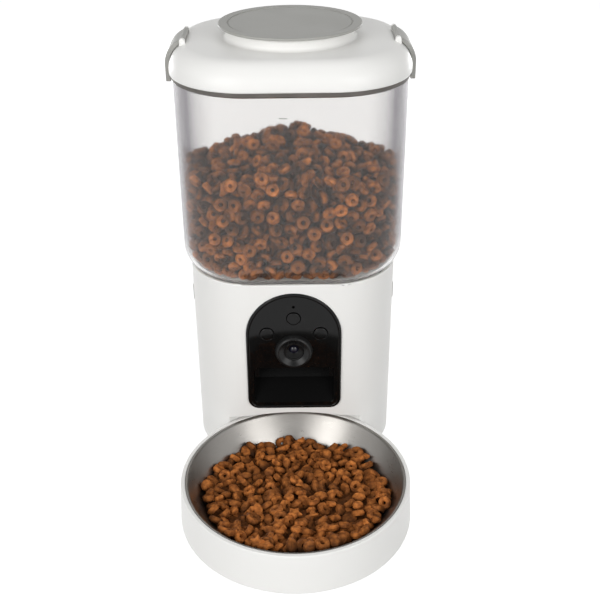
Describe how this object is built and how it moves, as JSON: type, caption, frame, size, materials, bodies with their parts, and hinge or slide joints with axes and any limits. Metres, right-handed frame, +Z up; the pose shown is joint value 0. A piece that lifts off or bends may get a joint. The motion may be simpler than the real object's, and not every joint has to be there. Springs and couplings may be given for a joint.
{
  "type": "pet feeder with camera",
  "caption": "Free-standing pet feeder: latched lid over a smoked hopper, rotor drive in a white body, black camera and button panel with food outlet, and a steel dish in a pull-out ring.",
  "frame": {"origin": "on the floor under the middle of the bounding box", "axes": "+Z up, the camera panel and bowl face -Y, +X to the right seen from the front"},
  "size_m": [0.198, 0.3292, 0.372],
  "materials": {
    "white_plastic": "satin",
    "grey_plastic": "satin",
    "smoked_plastic": "clear gloss",
    "pale_plastic": "satin",
    "black_gloss": "gloss",
    "black_plastic": "satin",
    "lens_glass": "polished",
    "circuit_board": "satin",
    "dish_steel": "brushed",
    "machine_steel": "zinc plated",
    "contact_brass": "satin",
    "seal_rubber": "matte",
    "foot_rubber": "matte"
  },
  "bodies": {
    "base": {"body_shell": "white_plastic", "body_skirt": "white_plastic", "bowl_recess": "white_plastic", "top_deck": "white_plastic", "deck_screws": "machine_steel", "base_plate": "white_plastic", "base_screws": "machine_steel", "rubber_feet": "foot_rubber", "battery_contacts": "contact_brass", "front_panel": "black_gloss", "outlet_chute": "black_plastic", "camera_bezel": "black_gloss", "camera_barrel": "black_plastic", "camera_lens": "lens_glass", "camera_board": "circuit_board", "button_board": "circuit_board", "microphone": "black_plastic", "speaker": "black_plastic", "main_board": "circuit_board", "power_inlet": "black_plastic", "chassis_plate": "white_plastic", "gearbox_case": "pale_plastic", "gearbox_cover": "pale_plastic", "gearbox_screws": "machine_steel", "motor": "machine_steel", "idler_axle": "machine_steel", "release_springs": "machine_steel"},
    "battery_door": {"battery_door": "white_plastic"},
    "button_top": {"button_top": "black_plastic"},
    "button_left": {"button_left": "black_plastic"},
    "button_right": {"button_right": "black_plastic"},
    "drive": {"output_gear": "pale_plastic", "output_shaft": "machine_steel"},
    "idler": {"idler_gear": "pale_plastic"},
    "pinion": {"motor_pinion": "contact_brass"},
    "release_left": {"release_button_left": "grey_plastic"},
    "release_right": {"release_button_right": "grey_plastic"},
    "hopper": {"hopper_shell": "smoked_plastic", "hopper_tabs": "smoked_plastic", "hopper_floor": "pale_plastic", "cup_floor": "pale_plastic", "hopper_screws": "machine_steel", "rotor_bush": "pale_plastic", "rotor_baffle": "pale_plastic"},
    "rotor": {"rotor": "grey_plastic", "rotor_shaft": "machine_steel"},
    "lid": {"lid_shell": "white_plastic", "lid_neck": "white_plastic", "lid_liner": "pale_plastic", "lid_screws": "machine_steel", "lid_seal": "seal_rubber", "latch_pins": "machine_steel"},
    "cap": {"lid_cap": "grey_plastic"},
    "latch_left": {"latch_left": "grey_plastic"},
    "latch_right": {"latch_right": "grey_plastic"},
    "holder": {"bowl_holder": "white_plastic", "holder_pads": "foot_rubber"},
    "dish": {"steel_dish": "dish_steel"}
  },
  "joints": [
    {"name": "drive_spin", "type": "hinge", "parent": "base", "child": "drive", "pos_m": [0, 0.07865, 0.1], "axis": [0, 0, 1], "continuous": true},
    {"name": "idler_spin", "type": "hinge", "parent": "base", "child": "idler", "pos_m": [0, 0.10665, 0.09], "axis": [0, 0, 1], "continuous": true},
    {"name": "pinion_spin", "type": "hinge", "parent": "base", "child": "pinion", "pos_m": [0, 0.13165, 0.09], "axis": [0, 0, 1], "continuous": true},
    {"name": "hopper_lift", "type": "slide", "parent": "base", "child": "hopper", "axis": [0, 0, 1], "range_m": [0, 0.065]},
    {"name": "rotor_spin", "type": "hinge", "parent": "hopper", "child": "rotor", "pos_m": [0, 0.07865, 0.15], "axis": [0, 0, 1], "continuous": true},
    {"name": "lid_lift", "type": "slide", "parent": "hopper", "child": "lid", "axis": [0, 0, 1], "range_m": [0, 0.08]},
    {"name": "cap_lift", "type": "slide", "parent": "lid", "child": "cap", "axis": [0, 0, 1], "range_m": [0, 0.03]},
    {"name": "latch_left_swing", "type": "hinge", "parent": "lid", "child": "latch_left", "pos_m": [-0.084, 0.07865, 0.36168], "axis": [0, 1, 0], "range_deg": [0, 75]},
    {"name": "latch_right_swing", "type": "hinge", "parent": "lid", "child": "latch_right", "pos_m": [0.084, 0.07865, 0.36168], "axis": [0, -1, 0], "range_deg": [0, 75]},
    {"name": "button_top_press", "type": "slide", "parent": "base", "child": "button_top", "axis": [0, 1, 0], "range_m": [0, 0.0008], "stiffness_N_per_m": 800},
    {"name": "button_left_press", "type": "slide", "parent": "base", "child": "button_left", "axis": [0, 1, 0], "range_m": [0, 0.0008], "stiffness_N_per_m": 800},
    {"name": "button_right_press", "type": "slide", "parent": "base", "child": "button_right", "axis": [0, 1, 0], "range_m": [0, 0.0008], "stiffness_N_per_m": 800},
    {"name": "release_left_press", "type": "slide", "parent": "base", "child": "release_left", "axis": [1, 0, 0], "range_m": [0, 0.002], "stiffness_N_per_m": 900, "deforming": ["release_springs"]},
    {"name": "release_right_press", "type": "slide", "parent": "base", "child": "release_right", "axis": [-1, 0, 0], "range_m": [0, 0.002], "stiffness_N_per_m": 900, "deforming": ["release_springs"]},
    {"name": "holder_pull", "type": "slide", "parent": "base", "child": "holder", "axis": [0, -1, 0], "range_m": [0, 0.06]},
    {"name": "dish_tip", "type": "hinge", "parent": "holder", "child": "dish", "pos_m": [0, 0.02275, 0.0364], "axis": [-1, 0, 0], "range_deg": [0, 10]},
    {"name": "door_slide", "type": "slide", "parent": "base", "child": "battery_door", "axis": [0, 1, 0], "range_m": [0, 0.032]}
  ],
  "couplings": [
    {"joint": "idler_spin", "follows": "drive_spin", "ratio": -3.6667},
    {"joint": "pinion_spin", "follows": "drive_spin", "ratio": 14.667},
    {"joint": "rotor_spin", "follows": "drive_spin", "ratio": 1}
  ]
}
